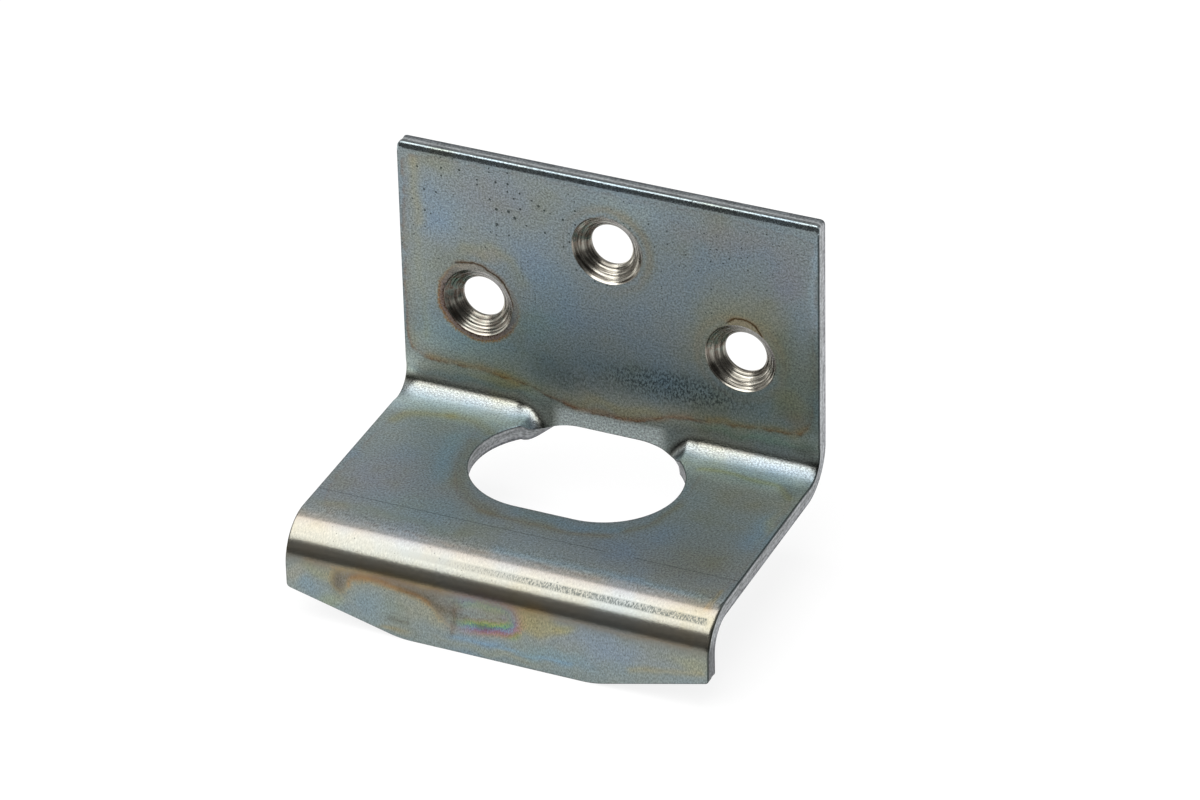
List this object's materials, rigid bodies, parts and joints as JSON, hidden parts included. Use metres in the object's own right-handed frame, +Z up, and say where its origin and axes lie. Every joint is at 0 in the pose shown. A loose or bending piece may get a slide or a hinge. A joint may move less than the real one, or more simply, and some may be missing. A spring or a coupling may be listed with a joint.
{
  "type": "stamped metal bracket",
  "caption": "Z-folded sheet-steel bracket: an upright plate with countersunk screw holes, a shelf with a round-ended slot, and a short tapered front lip.",
  "frame": {"origin": "on the wall face, midway between the two lower screw holes", "axes": "+X along the width, -Y out from the wall towards the lip, +Z up the plate"},
  "size_m": [0.055, 0.0365, 0.0469],
  "materials": {
    "zinc_steel": "zinc-plated and passivated sheet steel, satin, with stains and pitting"
  },
  "bodies": {
    "root": {"bracket": "zinc_steel"}
  },
  "joints": []
}
